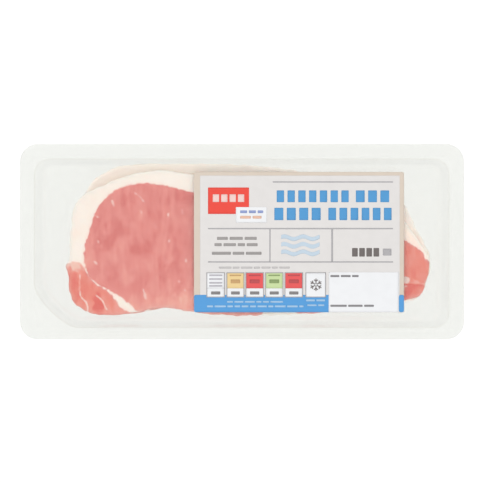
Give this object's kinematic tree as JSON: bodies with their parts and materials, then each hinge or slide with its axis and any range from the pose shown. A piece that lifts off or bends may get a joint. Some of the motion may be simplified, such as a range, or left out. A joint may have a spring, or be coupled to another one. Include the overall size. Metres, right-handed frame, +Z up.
{
  "type": "bacon pack",
  "caption": "Sealed clear tray pack of back bacon: formed tray with a flat flange, clear lid film, paper label and a shingled stack of rashers.",
  "frame": {"origin": "under the middle of the pack, on the surface that the tray's floor lies on", "axes": "+X along the pack from the eye end of the bacon to the tail end, +Y across it towards the fat side, +Z up through the label"},
  "size_m": [0.26, 0.1144, 0.0244],
  "materials": {
    "tray_plastic": "clear formed plastic sheet, smooth and glossy",
    "lid_film": "thin clear film, smooth and glossy",
    "label_paper": "smooth coated paper, satin",
    "bacon": "raw cured pork, pink lean with cream fat, moist"
  },
  "bodies": {
    "root": {"tray": "tray_plastic", "film": "lid_film", "label": "label_paper", "rasher_1": "bacon", "rasher_2": "bacon", "rasher_3": "bacon", "rasher_4": "bacon", "rasher_5": "bacon", "rasher_6": "bacon", "rasher_7": "bacon", "rasher_8": "bacon"}
  },
  "joints": []
}
